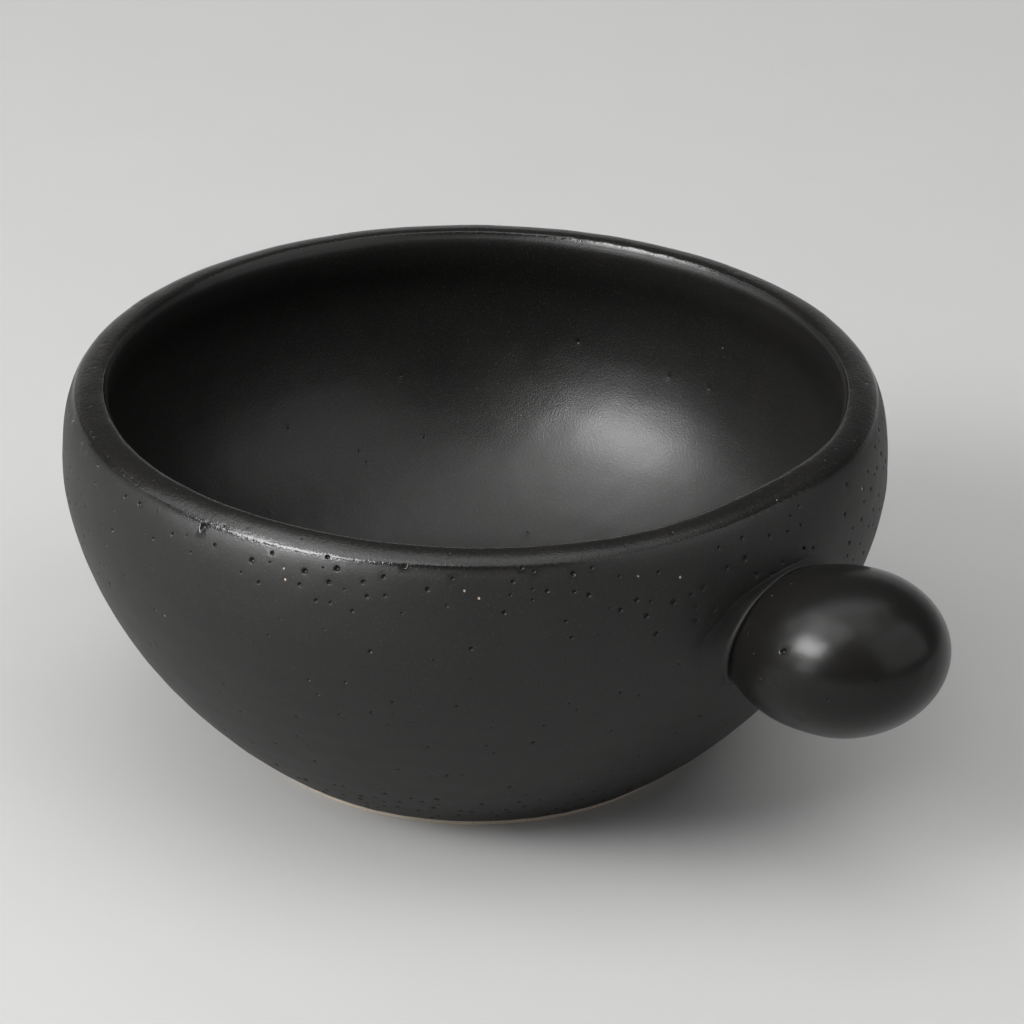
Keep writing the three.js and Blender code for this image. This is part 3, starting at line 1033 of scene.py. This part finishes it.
# %% Mix the clay
clay_pale = (0.78, 0.71, 0.60, 1)
clay_warm = (0.64, 0.54, 0.43, 1)
clay_grain = (0.34, 0.26, 0.18, 1)
clay_cloud_noise = {"Scale": 160, "Detail": 4.0}
clay_grit_noise = {"Scale": 1800, "Detail": 3.0}
grit_low = 0.62
grit_high = 0.75
clay_rough_low = 0.8
clay_rough_high = 0.98
clay_bend = 1.45
clay_bump = 0.05


def clay_recipe(add, place):
    """The bare buff clay."""
    grit = noise(add, place, clay_grit_noise)
    body = blend(add, noise(add, place, clay_cloud_noise), clay_pale, clay_warm)
    tint = blend(add, stretch(add, grit, 0.0, 1.0, grit_low, grit_high), body, clay_grain)
    rough = stretch(add, grit, clay_rough_low, clay_rough_high)
    raised = bumps(add, ((grit, clay_bump),))
    return {"Base Color": tint, "Normal": raised, "Roughness": rough, "IOR": clay_bend}


bare_clay = mix("bare_clay", clay_recipe)

# %% [markdown]
# ## Dress the pieces
# Each skin takes its finish, with clay as a second one for bare pinholes, rides on the one body of the
# bowl and hides the CAD node that it stands for. The handle's clay shell keeps its CAD solid, since the
# coat hides all of it.

# %% Dress the pieces
dress = (
    (inside_coat, black_glaze, "black_glaze", "inside_glaze"),
    (outside_coat, black_glaze, "black_glaze", "outside_glaze"),
    (handle_coat, handle_glaze, "black_glaze", "handle_glaze"),
    (slip_collar, black_glaze, "black_glaze", "luting_slip"),
    (recess_coat, black_glaze, "black_glaze", "base_glaze"),
    (clay_body, bare_clay, "bare_clay", "bowl_body"),
    (bare_foot, bare_clay, "bare_clay", "foot_ring"),
)
for piece, finish, slot, node in dress:
    piece.data.materials.append(finish)
    piece.data.materials.append(bare_clay)
    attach(piece, "root")
    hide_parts(node)
handle_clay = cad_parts["handle_shell"]
handle_clay.data.materials.clear()
handle_clay.data.materials.append(bare_clay)
print(len(dress), "skins dressed")

# %% [markdown]
# ## The table top
# The bowl stands on a pale grey sheet that fills the picture. Behind the bowl the paper curves up and
# rises on, as studio paper does, and the lip's inner edge mirrors it as a thin pale line. That part is
# kept out of the camera's own sight, so that the bowl can also be looked at from behind. Faint
# mottling keeps the sheet from looking computed.

# %% Lay the table top
camera_round = 46.84  # degrees from the handle round to the camera
picture_turn = math.pi / 2 - math.radians(camera_round)
sheet_front = -2.5  # metres from here to the end of the lesson
sheet_back = 0.9
sheet_side = 2.5
sheet_top = 0.45
sweep_radius = 0.3
sweep_steps = 12
paper_grey = (0.62, 0.62, 0.615, 1)
paper_shade = (0.60, 0.60, 0.595, 1)
paper_noise = {"Scale": 30, "Detail": 6.0}
paper_rough = 0.9
paper_shine = 0.0
sweep = [(sheet_back + sweep_radius * math.sin(turn), sweep_radius * (1 - math.cos(turn)))
         for turn in np.linspace(0, math.pi / 2, sweep_steps)]


def paper_recipe(add, place):
    """Pale grey studio paper."""
    tint = blend(add, noise(add, place, paper_noise), paper_grey, paper_shade)
    return {"Base Color": tint, "Roughness": paper_rough, "Specular IOR Level": paper_shine}


def lay(name, line, paper):
    """A wide strip of paper, from its side view as points of away and rise."""
    points = [(side, away, rise) for away, rise in line for side in (-sheet_side, sheet_side)]
    faces = [(2 * i, 2 * i + 1, 2 * i + 3, 2 * i + 2) for i in range(len(line) - 1)]
    mesh = smooth_mesh(name, points, faces)
    mesh.materials.append(paper)
    strip = put(name, mesh)
    strip.location.x = axis_x * MM
    strip.rotation_euler.z = picture_turn
    return strip


grey_paper = mix("grey_paper", paper_recipe)
lay("table_sheet", [(sheet_front, 0.0), sweep[0]], grey_paper)
rising_paper = lay("rising_paper", sweep + [(sheet_back + sweep_radius, sheet_top)], grey_paper)
rising_paper.visible_camera = False
print("the paper rises", sheet_top, "m behind the bowl")

# %% [markdown]
# ## Studio light
# The highlights tell where the lamps stood: a soft box at the left front with a hot middle, broad weak
# lights overhead and behind, and a pale wall to the right. Toward the camera the room was dark. Each
# lamp has its direction from the bowl, round from the picture's right and above the table, the width
# and height that it fills, all in degrees, its distance in metres, and two levels: the light that falls
# on things, and the shine that the glaze mirrors. A lamp of level 1 that filled the whole sky would
# light a white sheet to full white. Paper and glaze ask for different levels, so most lamps are hung
# twice. The card for the shine hangs a little nearer, because two lamps in one place would hide each
# other.

# %% Hang the lamps
aim_height = 0.04
card_gap = 0.03
room_grey = (0.065, 0.065, 0.065, 1)
lamp_aim = np.array((axis_x * MM, 0, aim_height))
lamps = (
    ("hot_middle", 215, 34, 28, 13, 1.1, 9.4, 5.2),
    ("soft_box", 211, 39, 30, 21, 1.2, 6.2, 19.5),
    ("low_front", 222, 13, 18, 18, 1.1, 1.4, 4.6),
    ("low_left", 190, 13, 50, 14, 1.2, 2.5, 1.1),
    ("left_strip", 166, 34, 12, 22, 1.2, 1.7, 2.4),
    ("upper_left", 178, 57, 34, 22, 1.2, 0, 2.0),
    ("high_left", 214, 66, 40, 24, 1.4, 1.4, 3.0),
    ("overhead", 0, 90, 36, 36, 1.5, 1.6, 1.4),
    ("top_back", 98, 72, 60, 18, 1.4, 0, 1.1),
    ("high_right", 330, 60, 50, 24, 1.4, 1.4, 0.7),
    ("right_wall", 335, 30, 60, 44, 1.3, 0.45, 0.9),
    ("back_fill", 90, 45, 80, 40, 1.4, 0.55, 0),
)


def hang(name, turn, rise, wide, tall, distance, level):
    """An area lamp that faces the bowl and fills a part of its sky."""
    turn, rise, wide, tall = map(math.radians, (turn, rise, wide, tall))
    turn = turn + picture_turn
    data = bpy.data.lights.new(name, "AREA")
    data.shape = "RECTANGLE"
    data.size = 2 * distance * math.tan(wide / 2)
    data.size_y = 2 * distance * math.tan(tall / 2)
    data.energy = math.pi * data.size * data.size_y * level
    lamp = put(name, data)
    lamp.location = lamp_aim + distance * spin(math.cos(rise), math.sin(rise), turn)
    lamp.rotation_euler = (math.pi / 2 - rise, 0, turn + math.pi / 2)
    print("lamp", name, "with", round(data.energy, 2), "W")
    return lamp


for name, *sky, distance, light, shine in lamps:
    if light:
        hang(name, *sky, distance, light).visible_glossy = False
    if shine:
        hang(name + "_card", *sky, distance - card_gap, shine).visible_diffuse = False
world = bpy.data.worlds.new("room")
world.use_nodes = True
world.node_tree.nodes["Background"].inputs["Color"].default_value = room_grey
bpy.context.scene.world = world
bpy.context.scene.view_settings.view_transform = "Standard"
